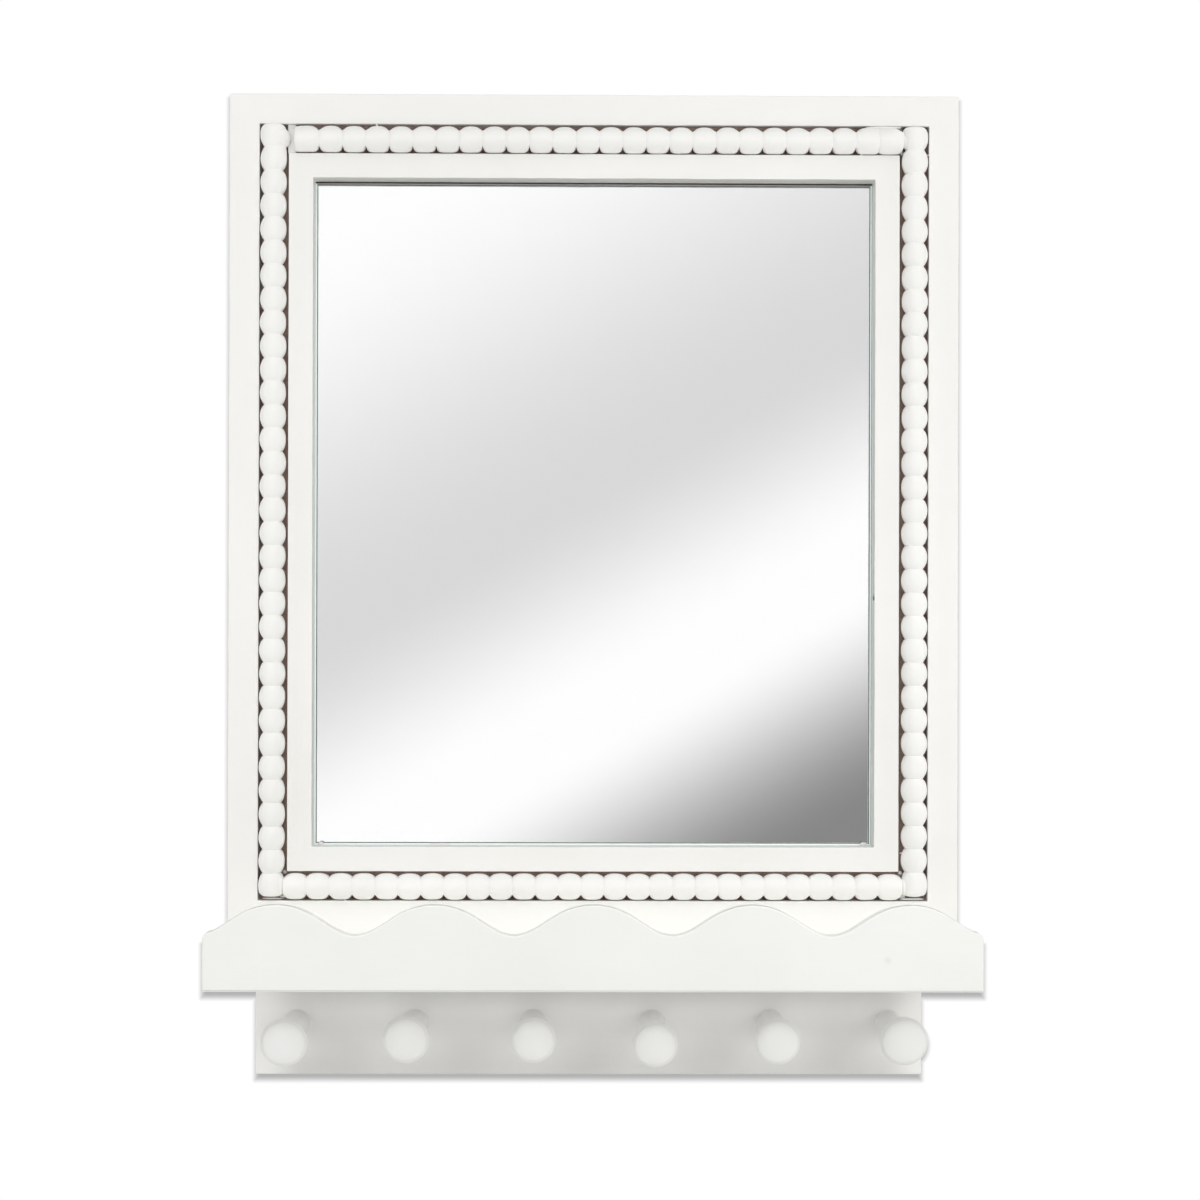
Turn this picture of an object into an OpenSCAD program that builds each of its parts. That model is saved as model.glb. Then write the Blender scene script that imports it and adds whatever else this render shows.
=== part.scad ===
// Wall mirror with a beaded frame, a scalloped tray shelf and a rail of turned pegs.
// Millimetres. +Z is up, +X is to the right as seen from the front, the front faces -Y.
// The back of the object is the plane Y = 0, which lies against the wall. The origin is on that
// plane, midway between the entry holes of the two keyhole hangers.

/* [Frame] */
// Overall width of the frame
frame_w = 397.6; // [392:0.1:404]
// Height of the frame, from its top edge down to the shelf
frame_h = 463; // [463:0.5:475]
// Distance from the top edge of the frame down to the hangers' entry holes
hanger_drop = 40; // [38:1:70]
// Thickness of the core board
core_t = 13; // [12:0.5:18]
// Thickness of the face strips, which is also the depth of the bead channel
strip_t = 8; // [7:0.5:9]
// Width of the outer face strips at the top and the sides
outer_w = 16.4; // [14:0.1:18]
// Width of the bead channel
channel_w = 15.9; // [15.5:0.1:16.5]
// Width of the inner face strips
inner_w = 13.3; // [12:0.1:15]
// Height of the mirror opening
opening_h = 364.3; // [360:0.1:364.3]

/* [Beads] */
// Diameter of a bead
bead_d = 14.4; // [13:0.1:14.6]
// Radius of a bead's rounded flank
bead_arc = 8.6; // [8:0.1:9]
// Length of one bead in the left strip
pitch_left = 12.73; // [12.6:0.01:12.8]
// Length of one bead in the right strip
pitch_right = 12.69; // [12.6:0.01:12.8]
// Length of one bead in the top strip
pitch_top = 12.67; // [12.6:0.01:12.7]
// Length of one bead in the bottom strip
pitch_bottom = 12.43; // [12.4:0.01:12.45]
// Number of beads in a side strip
beads_side = 33; // [30:1:33]
// Number of beads in the top strip
beads_top = 26; // [24:1:26]
// Number of beads in the bottom strip
beads_bottom = 27; // [25:1:27]

/* [Mirror] */
// Width of the mirror pane
mirror_w = 304.8; // [300:0.1:305.4]
// Height of the mirror pane
mirror_h = 362.6; // [356:0.1:363]
// Thickness of the mirror pane
mirror_t = 3; // [3:0.5:4]
// Thickness of the foam tape behind the pane
pad_t = 0.5; // [0.5:0.1:1]
// Thickness of the back panel
panel_t = 3.2; // [3:0.1:4]

/* [Shelf] */
// Thickness of the shelf board
shelf_t = 12; // [10:0.5:14]
// How far the scalloped front stands before the face of the frame
shelf_reach = 100; // [85:1:115]
// Sideways offset of the shelf against the frame
shelf_shift = -0.6; // [-1.5:0.1:1.5]
// Thickness of the scalloped front
front_t = 10; // [9:0.5:12]
// Height of the scalloped front at a peak
peak_h = 44.2; // [40:0.1:48]
// Height of the scalloped front at a valley
valley_h = 28.5; // [25:0.1:32]
// Length of one wave of the scallop
wave = 80.9; // [78:0.1:82]
// Radius of the scalloped front's upper corners
corner_r = 4.5; // [3:0.5:6]
// Height of the end lips above the shelf
lip_h = 10; // [8:0.5:11]
// Thickness of the end lips
lip_t = 9; // [8:0.5:10]

/* [Peg rail] */
// Width of the rail
rail_w = 363.2; // [360:0.1:366]
// Height of the rail
rail_h = 59; // [56:0.5:64]
// Thickness of the rail
rail_t = 18; // [18:0.5:20]
// Sideways offset of the rail against the frame
rail_shift = -2; // [-2.5:0.1:2.5]
// Distance between neighbouring pegs
peg_pitch = 64.55; // [62:0.05:66]
// How far a peg stands out of the rail
peg_len = 73; // [70:0.5:76]
// Radius of a peg's neck
neck_r = 5.6; // [5:0.1:6.2]
// How much of the pegs' slight hand-set lean is kept, 0 for square pegs
peg_lean = 1; // [0:0.1:1]

/* [Hangers] */
// Distance between the two keyhole hangers
hanger_pitch = 364; // [360:1:366]
// Radius of a hanger's entry hole
entry_r = 5; // [4.5:0.1:5.2]
// Radius of a hanger's narrow slot
slot_r = 2.4; // [2:0.1:2.6]
// Travel from the entry hole up to the seat of the slot
slot_up = 11; // [9:0.5:11]

/* [Hidden] */
$fn = 64;

// clearance round a part that is set in a hole
fitc = 0.05;
face_y = -(core_t + strip_t);
half_w = frame_w / 2;
open_w = frame_w - 2 * (outer_w + channel_w + inner_w);
// distances down from the top edge of the frame
d_chan_top = outer_w;
d_inner_top = outer_w + channel_w;
d_open_top = d_inner_top + inner_w;
d_open_bot = d_open_top + opening_h;
d_inner_bot = d_open_bot + inner_w;
d_chan_bot = d_inner_bot + channel_w;
function zt(d) = hanger_drop - d;

// back panel and its rebate
ledge = 12;
panel_w = open_w + 2 * ledge - 1;
panel_h = opening_h + 2 * ledge - 1;
open_cz = zt(d_open_top + opening_h / 2);
pane_back = -(panel_t + pad_t);
// the pane hangs a little low in its opening
pane_cz = open_cz - 0.3;

// beads
bead_y = -(core_t + bead_d / 2 + 0.1);
left_x = -174.5;
right_x = 174.7;
top_z = zt(24.7);
bottom_z = zt(431.4);

// shelf
shelf_z = zt(frame_h);
front_y = face_y - shelf_reach;
board_z = shelf_z - shelf_t;

// pegs: radius of the head, then how far it leans to the right and up, for each peg
peg_z = board_z - 30.8;
pegs = [
  [12.4, 0.0, 0.6], [12.3, -1.2, -1.1], [11.9, 0.7, -0.8],
  [12.0, -0.5, 1.5], [12.1, -1.1, -0.2], [12.6, 0.5, -0.4]
];
tenon_r = 6.3;
tenon_l = 13;

// fasteners
dowel_x = [-176, -60, 60, 176];
dowel_y = -6.5;
dowel_r = 3;
corner_dowel_d = [26, 10, frame_h - 31, frame_h - 13];
corner_dowel_l = 30;
dowel_in_shelf = 8;
dowel_in_core = 22;
rail_screw_x = [-102, -2, 98];
rail_screw_y = -8.5;
rail_screw_l = 42;
brad_r = 0.7;
front_brad_x = [-172, -86, 0, 86, 172];
lip_brad_y = [-48, -92];
panel_screw_xz = concat(
  [for (s = [-1, 1], k = [-1, 0, 1]) [s * (open_w / 2 + ledge / 2), open_cz + k * 150]],
  [for (s = [-1, 1], k = [-1, 1]) [k * 80, open_cz + s * (opening_h / 2 + ledge / 2)]]
);

// a block between two corners
module block(x, y, z) {
  translate([x[0], y[0], z[0]]) cube([x[1] - x[0], y[1] - y[0], z[1] - z[0]]);
}

// a cylinder along Y from y0 to y1
module rod_y(r, y0, y1, r2 = undef) {
  translate([0, y0, 0]) rotate([-90, 0, 0])
    cylinder(r1 = r, r2 = is_undef(r2) ? r : r2, h = y1 - y0);
}

// a countersunk screw whose head is flush with Y = 0 and whose tip points to -Y
module screw_y(head_r, shank_r, head_h, len, cross = true) {
  difference() {
    union() {
      rod_y(shank_r, -head_h, 0, head_r);
      rod_y(shank_r, -(len - 2), -head_h + 0.01);
      rod_y(0.3, -len, -(len - 2), shank_r);
    }
    if (cross) for (a = [0, 90]) rotate([0, a, 0])
      block([-head_r * 0.55, head_r * 0.55], [-head_h * 0.7, 1], [-0.3, 0.3]);
  }
}

// the hole that such a screw sits in
module screw_hole_y(head_r, shank_r, head_h, len) {
  rod_y(shank_r + fitc, -(len + 0.3), 0.01);
  rod_y(shank_r + fitc, -head_h, 0.001, head_r + fitc);
}

// stadium outline plate lying in the back plane, from y0 to y1, between two centre heights
module stadium_y(r, z0, z1, y0, y1) {
  translate([0, 0, z0]) rod_y(r, y0, y1);
  translate([0, 0, z1]) rod_y(r, y0, y1);
  block([-r, r], [y0, y1], [z0, z1]);
}

// ---- frame ----

plate_r = 8;
plate_z0 = -7;
plate_z1 = 17;
plate_t = 1.5;
pocket_depth = 8.5;
hanger_screw_z = [-9.8, 19.2];

// everything that is cut out of the four boards of the core
module core_cuts() {
  // rebate for the back panel
  block([-open_w / 2 - ledge, open_w / 2 + ledge], [-panel_t, 1],
        [zt(d_open_bot) - ledge, zt(d_open_top) + ledge]);
  // screw holes of the back panel
  for (p = panel_screw_xz) translate([p[0], 0, p[1]]) rod_y(1.35 + fitc, -9.3, 0);
  // recess and pocket behind each hanger
  for (s = [-1, 1]) translate([s * hanger_pitch / 2, 0, 0]) {
    stadium_y(plate_r + 0.1, plate_z0, plate_z1, -plate_t, 1);
    stadium_y(6.2, 0, slot_up - 1, -pocket_depth, 0);
    for (z = hanger_screw_z) translate([0, 0, z]) rod_y(1.6 + fitc, -9.3, 0);
  }
  // blind holes for the dowels in the lower edge
  for (x = dowel_x) translate([x, dowel_y, shelf_z - 1])
    cylinder(r = dowel_r + fitc, h = dowel_in_core + 1.3);
  // blind holes for the dowels across the corner joints
  for (s = [-1, 1], d = corner_dowel_d)
    translate([s * open_w / 2 - corner_dowel_l / 2 - 0.3, dowel_y, zt(d)]) rotate([0, 90, 0])
      cylinder(r = dowel_r + fitc, h = corner_dowel_l + 0.6);
}
module core_board(x, d) {
  color([0.36, 0.27, 0.22]) difference() {
    block(x, [-core_t, 0], [zt(d[1]), zt(d[0])]);
    core_cuts();
  }
}
module core_stile_left() { core_board([-half_w, -open_w / 2], [0, frame_h]); }
module core_stile_right() { core_board([open_w / 2, half_w], [0, frame_h]); }
module core_rail_top() { core_board([-open_w / 2, open_w / 2], [0, d_open_top]); }
module core_rail_bottom() { core_board([-open_w / 2, open_w / 2], [d_open_bot, frame_h]); }
module corner_dowels() {
  color([0.8, 0.66, 0.48]) for (s = [-1, 1], d = corner_dowel_d)
    translate([s * open_w / 2 - corner_dowel_l / 2, dowel_y, zt(d)]) rotate([0, 90, 0])
      cylinder(r = dowel_r, h = corner_dowel_l);
}

module back_panel() {
  color([0.45, 0.33, 0.22]) difference() {
    block([-panel_w / 2, panel_w / 2], [-panel_t, 0], [open_cz - panel_h / 2, open_cz + panel_h / 2]);
    for (p = panel_screw_xz) translate([p[0], 0, p[1]]) screw_hole_y(2.6, 1.35, 1.4, 9);
  }
}

module back_panel_screws() {
  color([0.75, 0.72, 0.6])
    for (p = panel_screw_xz) translate([p[0], 0, p[1]]) screw_y(2.6, 1.35, 1.4, 9);
}

// a face strip between two corners, given as distances across and down
module face_strip(x, d) {
  color([0.95, 0.95, 0.93]) block(x, [face_y, -core_t], [zt(d[1]), zt(d[0])]);
}
module outer_strip_left() { face_strip([-half_w, -half_w + outer_w], [0, frame_h]); }
module outer_strip_right() { face_strip([half_w - outer_w, half_w], [0, frame_h]); }
module outer_strip_top() { face_strip([-half_w + outer_w, half_w - outer_w], [0, outer_w]); }
module outer_strip_bottom() { face_strip([-half_w + outer_w, half_w - outer_w], [d_chan_bot, frame_h]); }
module inner_strip_left() { face_strip([-open_w / 2 - inner_w, -open_w / 2], [d_inner_top, d_inner_bot]); }
module inner_strip_right() { face_strip([open_w / 2, open_w / 2 + inner_w], [d_inner_top, d_inner_bot]); }
module inner_strip_top() { face_strip([-open_w / 2, open_w / 2], [d_inner_top, d_open_top]); }
module inner_strip_bottom() { face_strip([-open_w / 2, open_w / 2], [d_open_bot, d_inner_bot]); }

// A turned strip of beads along +Z, cut off square at z = a and z = b. A groove lies at z = 0 and
// at each whole pitch. Each bead's flank is an arc that is centred a little beyond the axis, drawn
// as short chords, so the beads meet in narrow necks.
chords = 8;
function bead_pt(i, j, pitch) = let (phi = asin(pitch / 2 / bead_arc), a = phi * (2 * j / chords - 1))
  [bead_d / 2 - bead_arc + bead_arc * cos(a), (i + 0.5) * pitch + bead_arc * sin(a)];
function bead_rim(z, pitch) = let (u = z - (floor(z / pitch) + 0.5) * pitch)
  bead_d / 2 - bead_arc + sqrt(bead_arc * bead_arc - u * u);
module bead_strip(n, pitch, a, b) {
  color([0.96, 0.96, 0.94]) rotate_extrude() polygon(concat(
    [[0, a], [bead_rim(a, pitch), a]],
    [for (i = [0 : n - 1], j = [0 : chords - 1]) let (p = bead_pt(i, j, pitch))
      if (p[1] > a + 0.05 && p[1] < b - 0.05) p],
    [[bead_rim(b - 0.0001, pitch), b], [0, b]]
  ));
}
module bead_strip_left() {
  translate([left_x, bead_y, zt(16.7)]) mirror([0, 0, 1])
    bead_strip(beads_side, pitch_left, 0, beads_side * pitch_left);
}
module bead_strip_right() {
  translate([right_x, bead_y, zt(17.0)]) mirror([0, 0, 1])
    bead_strip(beads_side, pitch_right, 0, beads_side * pitch_right);
}
module bead_strip_top() {
  translate([-162.6, bead_y, top_z]) rotate([0, 90, 0])
    bead_strip(beads_top, pitch_top, 0, beads_top * pitch_top);
}
module bead_strip_bottom() {
  translate([-168.2, bead_y, bottom_z]) rotate([0, 90, 0])
    bead_strip(beads_bottom, pitch_bottom, 1.3, beads_bottom * pitch_bottom - 0.2);
}

// ---- mirror ----

module mirror_pane() {
  color([0.8, 0.86, 0.87]) block([-mirror_w / 2, mirror_w / 2], [pane_back - mirror_t, pane_back],
    [pane_cz - mirror_h / 2, pane_cz + mirror_h / 2]);
}
module mirror_tape() {
  color([0.9, 0.9, 0.88]) for (x = [-110, 0, 110])
    block([x - 10, x + 10], [pane_back, -panel_t], [open_cz - 160, open_cz + 160]);
}

// ---- shelf ----

module shelf_board() {
  color([0.95, 0.95, 0.93]) difference() {
    translate([shelf_shift, 0, 0])
      block([-half_w, half_w], [front_y + front_t, 0], [board_z, shelf_z]);
    for (x = dowel_x) translate([x, dowel_y, shelf_z - dowel_in_shelf - 0.3])
      cylinder(r = dowel_r + fitc, h = dowel_in_shelf + 1);
    for (x = rail_screw_x) translate([x, rail_screw_y, shelf_z]) rotate([-90, 0, 0])
      screw_hole_y(3.9, 2, 2.4, rail_screw_l);
    for (x = front_brad_x) translate([x, 0, board_z + shelf_t / 2])
      rod_y(brad_r + fitc, front_y - 1, front_y + 32);
    for (s = [-1, 1], y = lip_brad_y) translate([shelf_shift + s * (half_w - lip_t / 2), y, shelf_z - 9])
      cylinder(r = brad_r + fitc, h = 10);
  }
}

// height of the scallop above the lower edge, at a distance x from the middle: a wave whose
// crests are broader than its troughs
function crest(x) = let (s = cos(360 * x / wave))
  (peak_h + valley_h) / 2 + (peak_h - valley_h) / 2 * (s + 0.215 * (1 - s * s));
end_h = crest(half_w - corner_r);
scallop_pts = concat(
  [[-half_w, 0], [half_w, 0]],
  [for (a = [0 : 10 : 90]) [half_w - corner_r + corner_r * cos(a), end_h - corner_r + corner_r * sin(a)]],
  [for (i = [1 : 159]) let (x = (half_w - corner_r) * (1 - i / 80)) [x, crest(x)]],
  [for (a = [90 : 10 : 180]) [-half_w + corner_r + corner_r * cos(a), end_h - corner_r + corner_r * sin(a)]]
);
module scalloped_front() {
  color([0.94, 0.94, 0.92]) difference() {
    translate([shelf_shift, front_y + front_t, board_z]) rotate([90, 0, 0])
      linear_extrude(front_t) polygon(scallop_pts);
    for (x = front_brad_x) translate([x, 0, board_z + shelf_t / 2])
      rod_y(brad_r + fitc, front_y + 0.8, front_y + 32);
  }
}
module front_brads() {
  color([0.7, 0.7, 0.7]) for (x = front_brad_x) translate([x, 0, board_z + shelf_t / 2]) {
    rod_y(brad_r, front_y + 1, front_y + 29);
    rod_y(brad_r, front_y + 29, front_y + 31, 0.2);
  }
}

module end_lip(s) {
  color([0.95, 0.95, 0.93]) difference() {
    translate([shelf_shift + s * (half_w - lip_t / 2), 0, 0])
      block([-lip_t / 2, lip_t / 2], [front_y + front_t, face_y], [shelf_z, shelf_z + lip_h]);
    for (y = lip_brad_y) translate([shelf_shift + s * (half_w - lip_t / 2), y, shelf_z - 1])
      cylinder(r = brad_r + fitc, h = lip_h + 0.3);
  }
}
module end_lip_left() { end_lip(-1); }
module end_lip_right() { end_lip(1); }
module lip_brads() {
  color([0.7, 0.7, 0.7]) for (s = [-1, 1], y = lip_brad_y)
    translate([shelf_shift + s * (half_w - lip_t / 2), y, shelf_z - 8.7])
      cylinder(r = brad_r, h = lip_h + 7.7);
}

module frame_dowels() {
  color([0.8, 0.66, 0.48]) for (x = dowel_x)
    translate([x, dowel_y, shelf_z - dowel_in_shelf])
      cylinder(r = dowel_r, h = dowel_in_shelf + dowel_in_core);
}

// ---- peg rail ----

module at_peg(i) {
  p = pegs[i];
  translate([0.1 + (i - 2.5) * peg_pitch, -rail_t, peg_z])
    rotate([peg_lean * atan(p[2] / 68), 0, peg_lean * atan(p[1] / 68)])
      rotate([90, 0, 0]) children();
}

module peg_rail() {
  color([0.95, 0.95, 0.93]) difference() {
    translate([rail_shift, 0, 0])
      block([-rail_w / 2, rail_w / 2], [-rail_t, 0], [board_z - rail_h, board_z]);
    for (i = [0 : 5]) at_peg(i) translate([0, 0, -tenon_l - 0.5])
      cylinder(r = tenon_r + fitc, h = tenon_l + 3);
    for (x = rail_screw_x) translate([x, rail_screw_y, shelf_z]) rotate([-90, 0, 0])
      rod_y(2 + fitc, -(rail_screw_l + 0.3), 0);
  }
}
module rail_screws() {
  color([0.75, 0.72, 0.6]) for (x = rail_screw_x)
    translate([x, rail_screw_y, shelf_z]) rotate([-90, 0, 0]) screw_y(3.9, 2, 2.4, rail_screw_l);
}

// Lathe profile of a peg: a tenon, a collar that thins to a neck, and a mushroom head with a
// rounded rim and a gently domed face.
function peg_profile(R) = let (tn = peg_len - 22, tf = peg_len - 8.5, rr = 1.9) concat(
  [[0, -tenon_l], [tenon_r - 0.8, -tenon_l], [tenon_r, -tenon_l + 0.8], [tenon_r, 0]],
  [for (i = [0 : 12]) let (u = i / 12) [neck_r + 1.6 * pow(1 - u, 1.7), 0.1 + tn * u]],
  [for (i = [1 : 10]) let (a = 90 * i / 10) [neck_r + (R - rr - neck_r) * (1 - cos(a)), tn + (tf - tn) * sin(a)]],
  [for (i = [1 : 9]) let (a = -90 + 145 * i / 9) [R - rr + rr * cos(a), tf + rr + rr * sin(a)]],
  [for (i = [1 : 8]) let (u = i / 8, r0 = R - rr + rr * cos(55), t0 = tf + rr + rr * sin(55))
    [r0 * cos(90 * u), t0 + (peg_len - t0) * sin(90 * u)]]
);
module peg(i) {
  color([0.95, 0.95, 0.94]) at_peg(i) rotate_extrude() polygon(peg_profile(pegs[i][0]));
}
module peg_1() { peg(0); }
module peg_2() { peg(1); }
module peg_3() { peg(2); }
module peg_4() { peg(3); }
module peg_5() { peg(4); }
module peg_6() { peg(5); }

// ---- hangers ----

module hanger() {
  color([0.78, 0.76, 0.66]) difference() {
    stadium_y(plate_r, plate_z0, plate_z1, -plate_t, 0);
    rod_y(entry_r, -plate_t - 1, 1);
    translate([0, 0, slot_up]) rod_y(slot_r, -plate_t - 1, 1);
    block([-slot_r, slot_r], [-plate_t - 1, 1], [0, slot_up]);
    for (z = hanger_screw_z) translate([0, 0, z]) {
      rod_y(1.65, -plate_t - 1, 1);
      rod_y(1.65, -1.4, 0.001, 3.05);
    }
  }
}
module hanger_left() { translate([-hanger_pitch / 2, 0, 0]) hanger(); }
module hanger_right() { translate([hanger_pitch / 2, 0, 0]) hanger(); }
module hanger_screws() {
  color([0.75, 0.72, 0.6]) for (s = [-1, 1], z = hanger_screw_z)
    translate([s * hanger_pitch / 2, 0, z]) screw_y(3.0, 1.6, 1.4, 9);
}

core_stile_left();
core_stile_right();
core_rail_top();
core_rail_bottom();
corner_dowels();
back_panel();
back_panel_screws();
outer_strip_left();
outer_strip_right();
outer_strip_top();
outer_strip_bottom();
inner_strip_left();
inner_strip_right();
inner_strip_top();
inner_strip_bottom();
bead_strip_left();
bead_strip_right();
bead_strip_top();
bead_strip_bottom();
mirror_pane();
mirror_tape();
shelf_board();
scalloped_front();
front_brads();
end_lip_left();
end_lip_right();
lip_brads();
frame_dowels();
rail_screws();
peg_rail();
peg_1();
peg_2();
peg_3();
peg_4();
peg_5();
peg_6();
hanger_left();
hanger_right();
hanger_screws();
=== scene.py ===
import math
import random

import bmesh
import bpy
from mathutils import Matrix, Vector, noise


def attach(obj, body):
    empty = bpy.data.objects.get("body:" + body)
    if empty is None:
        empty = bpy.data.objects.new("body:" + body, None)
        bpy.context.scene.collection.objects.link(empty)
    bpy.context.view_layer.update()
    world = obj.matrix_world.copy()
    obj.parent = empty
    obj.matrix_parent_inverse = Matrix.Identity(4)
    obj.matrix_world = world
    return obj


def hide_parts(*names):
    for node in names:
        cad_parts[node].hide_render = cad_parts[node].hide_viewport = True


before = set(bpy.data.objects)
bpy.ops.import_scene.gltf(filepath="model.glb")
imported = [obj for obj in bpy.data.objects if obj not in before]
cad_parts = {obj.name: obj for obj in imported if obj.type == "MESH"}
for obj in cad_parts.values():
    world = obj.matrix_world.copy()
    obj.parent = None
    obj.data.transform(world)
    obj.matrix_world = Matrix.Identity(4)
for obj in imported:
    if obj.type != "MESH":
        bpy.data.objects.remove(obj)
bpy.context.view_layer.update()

scene = bpy.context.scene
MM = 0.001


def mm(*v):
    return tuple(x * MM for x in v)


# ------------------------------------------------------------------ sizes, in mm, as in the CAD
HALF_W = 198.8
TOP = 40.0
FRAME_H = 463.0
OUTER_W, CHANNEL_W, INNER_W = 16.4, 15.9, 13.3
OPEN_X = HALF_W - OUTER_W - CHANNEL_W - INNER_W          # 153.2
OPEN_H = 364.3
FACE_Y, CORE_Y = -21.0, -13.0
D_IN = OUTER_W + CHANNEL_W
D_OPEN = D_IN + INNER_W
D_OPEN2 = D_OPEN + OPEN_H
D_IN2 = D_OPEN2 + INNER_W
D_CH2 = D_IN2 + CHANNEL_W
SHELF_Z = TOP - FRAME_H                                   # -423
BOARD_Z = SHELF_Z - 12.0                                  # -435
FRONT_Y = -121.0
SHIFT = -0.6
PEG_Z = BOARD_Z - 30.8
PEGS = [(12.4, 0.0, 0.6), (12.3, -1.2, -1.1), (11.9, 0.7, -0.8),
        (12.0, -0.5, 1.5), (12.1, -1.1, -0.2), (12.6, 0.5, -0.4)]
PEG_LEN, NECK_R, TENON_L, TENON_R = 73.0, 5.6, 13.0, 6.3
FLARE = 1.6

# strengths of the lights, in the units of each
# soft boxes: azimuth from the front, distance and height in m, size, watts
LAMPS = [("left_side", -76, 1.2, -0.2, 0.5, 2.13), ("right_side", 76, 1.2, -0.2, 0.5, 2.02),
         ("left_front", -30, 1.3, -0.2, 0.4, 1.73), ("right_front", 30, 1.3, -0.2, 0.4, 3.26)]
TRAY = 0.0085                                             # a small lamp that stands in for light caught in the tray
RAIL_FILL = 0.0125
EDGE_FILL = 0.0145
# soft lobes of the room's own light: azimuth from the front, elevation, sharpness, strength
AMBIENT = 0.22
DOME = [("overhead", 0, 60, 6, 2.285), ("upper_right", 60, 30, 6, 0.283), ("upper_left", -60, 30, 6, 0.03),
        ("lower", 0, -30, 6, 1.48), ("behind", 180, 10, 2, 0.6)]


# ------------------------------------------------------------------ mesh helpers
def finish_mesh(name, bm, mats, smooth=True, angle=0.6):
    """Makes an object of a bmesh."""
    bmesh.ops.remove_doubles(bm, verts=bm.verts, dist=1e-7)
    bmesh.ops.recalc_face_normals(bm, faces=bm.faces)
    me = bpy.data.meshes.new(name)
    bm.to_mesh(me)
    bm.free()
    for m in mats:
        me.materials.append(m)
    if smooth:
        me.polygons.foreach_set("use_smooth", [True] * len(me.polygons))
        me.set_sharp_from_angle(angle=angle)
    ob = bpy.data.objects.new(name, me)
    scene.collection.objects.link(ob)
    return ob


def piece(name, bm, mats, nodes, slot, **kw):
    ob = finish_mesh(name, bm, mats, **kw)
    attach(ob, "root")
    if nodes:
        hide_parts(*nodes)
    return ob


def wobble(co, amp, scale, seed):
    """A smooth random offset, in mm, at a point in mm."""
    p = Vector((co[0] / scale + seed * 7.13, co[1] / scale - seed * 3.7, co[2] / scale + seed * 1.9))
    return noise.noise_vector(p) * amp


def rect_loop(x0, x1, z0, z1, rc, nc, nx, nz):
    """Points round a rectangle with rounded corners, always the same number of them."""
    pts = []
    corners = [((x1 - rc, z0 + rc), -90), ((x1 - rc, z1 - rc), 0), ((x0 + rc, z1 - rc), 90), ((x0 + rc, z0 + rc), 180)]
    sides = [nz, nx, nz, nx]
    for k in range(4):
        (cx, cz), a0 = corners[k]
        arc = [(cx + rc * math.cos(math.radians(a0 + 90 * i / nc)), cz + rc * math.sin(math.radians(a0 + 90 * i / nc)))
               for i in range(nc + 1)]
        pts += arc
        (nxt, _) = corners[(k + 1) % 4]
        a1 = corners[(k + 1) % 4][1]
        end = (nxt[0] + rc * math.cos(math.radians(a1)), nxt[1] + rc * math.sin(math.radians(a1)))
        n = sides[k]
        for i in range(1, n):
            t = i / n
            pts.append((arc[-1][0] * (1 - t) + end[0] * t, arc[-1][1] * (1 - t) + end[1] * t))
    return pts


def strip_section(w, yf, yb, r_out, r_in, rb):
    """Closed section of a face strip as (distance inwards, y), with eased front edges."""
    s = [(rb, yb), (0, yb - rb), (0, (yf + yb) / 2)]
    s += [(r_out - r_out * math.cos(a), yf + r_out - r_out * math.sin(a)) for a in [math.radians(90 * i / 4) for i in range(5)]]
    s += [(r_out + (w - r_out - r_in) * t, yf) for t in (0.2, 0.4, 0.6, 0.8)]
    s += [(w - r_in + r_in * math.sin(a), yf + r_in - r_in * math.cos(a)) for a in [math.radians(90 * i / 4) for i in range(5)]]
    s += [(w, (yf + yb) / 2), (w, yb - rb), (w - rb, yb)]
    return s


def ring(x0, x1, z0, z1, w, rc, r_out, r_in, seed, low=0.0):
    """A rectangular ring of face strips as one mesh, before it is cut into four. low is how much wider its bottom side
    is.
    """
    bm = bmesh.new()
    sec = strip_section(w, FACE_Y, CORE_Y, r_out, r_in, 0.25)
    nx, nz = round((x1 - x0) / 5), round((z1 - z0) / 5)
    rows = []
    for d, y in sec:
        r = max(rc - d, 0.35)
        row = []
        for x, z in rect_loop(x0 + d, x1 - d, z0 + d + (low if d > w / 2 else 0.0), z1 - d, r, 4, nx, nz):
            co = Vector((x, y, z))
            front = max(0.0, min(1.0, (CORE_Y - y) / 8))
            edge = 1.0 if (d < 0.8 or d > w - 0.8) else 0.35
            o = wobble(co, 0.16 * front * edge, 9.0, seed) + wobble(co, 0.08 * front, 40.0, seed + 5)
            co += Vector((o.x * (0 if edge < 1 else 1), o.y * 0.5, o.z * (0 if edge < 1 else 1)))
            co.x, co.z = min(max(co.x, x0), x1), min(max(co.z, z0), z1)
            co.y = max(co.y, FACE_Y)
            row.append(bm.verts.new(co * MM))
        rows.append(row)
    n = len(rows[0])
    for i in range(len(rows)):
        a, b = rows[i], rows[(i + 1) % len(rows)]
        for j in range(n):
            bm.faces.new((a[j], a[(j + 1) % n], b[(j + 1) % n], b[j]))
    return bm


def cut(bm, planes):
    """What is left of a closed mesh on the positive side of each plane, capped."""
    out = bm.copy()
    for co, no in planes:
        geom = out.verts[:] + out.edges[:] + out.faces[:]
        bmesh.ops.bisect_plane(out, geom=geom, dist=1e-8, plane_co=co, plane_no=no, clear_inner=True)
        open_edges = [e for e in out.edges if e.is_boundary]
        bmesh.ops.holes_fill(out, edges=open_edges, sides=0)
    return out


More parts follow.
